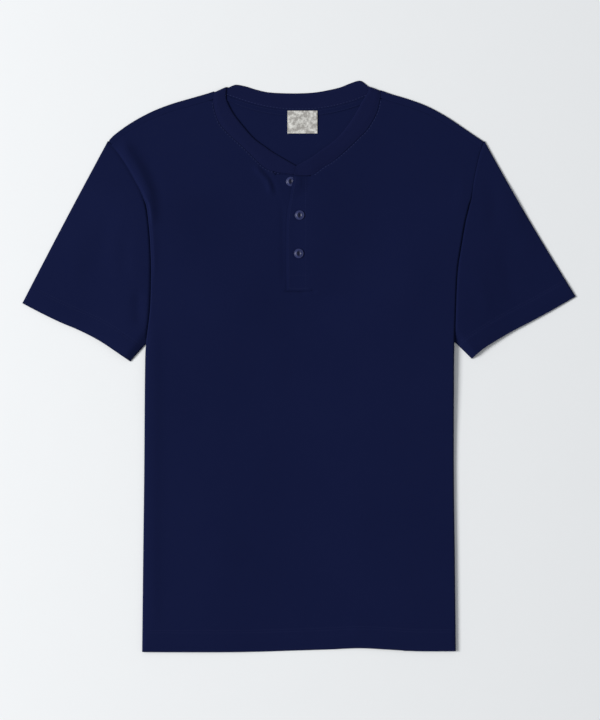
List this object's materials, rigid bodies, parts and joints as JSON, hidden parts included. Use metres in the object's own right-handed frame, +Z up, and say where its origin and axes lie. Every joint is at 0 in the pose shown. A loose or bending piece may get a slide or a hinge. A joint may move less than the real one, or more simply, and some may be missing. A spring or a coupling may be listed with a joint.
{
  "type": "henley shirt",
  "caption": "Short-sleeved henley shirt in navy jersey with a buttoned placket, laid flat with its sides tucked under.",
  "frame": {"origin": "middle of the shirt's outline, on the surface that it lies on", "axes": "+X to the right seen from above, +Y from the hem to the neck, +Z up from the surface"},
  "size_m": [0.6924, 0.7144, 0.0085],
  "materials": {
    "jersey": "fine plain jersey knit, deep navy, soft matt with a faint sheen",
    "neck_rib": "fine rib knit, deep navy, matt",
    "tape": "narrow twill tape, navy",
    "label": "bare woven label, mottled grey-beige",
    "button": "slate-blue resin with a raised rim, half gloss"
  },
  "bodies": {
    "root": {"back_panel": "jersey", "front_panel": "jersey", "sleeve_left": "jersey", "sleeve_right": "jersey", "neckband": "neck_rib", "placket_under": "jersey", "placket_top": "jersey", "neck_tape": "tape", "neck_label": "label", "button_top": "button", "button_middle": "button", "button_bottom": "button"}
  },
  "joints": []
}
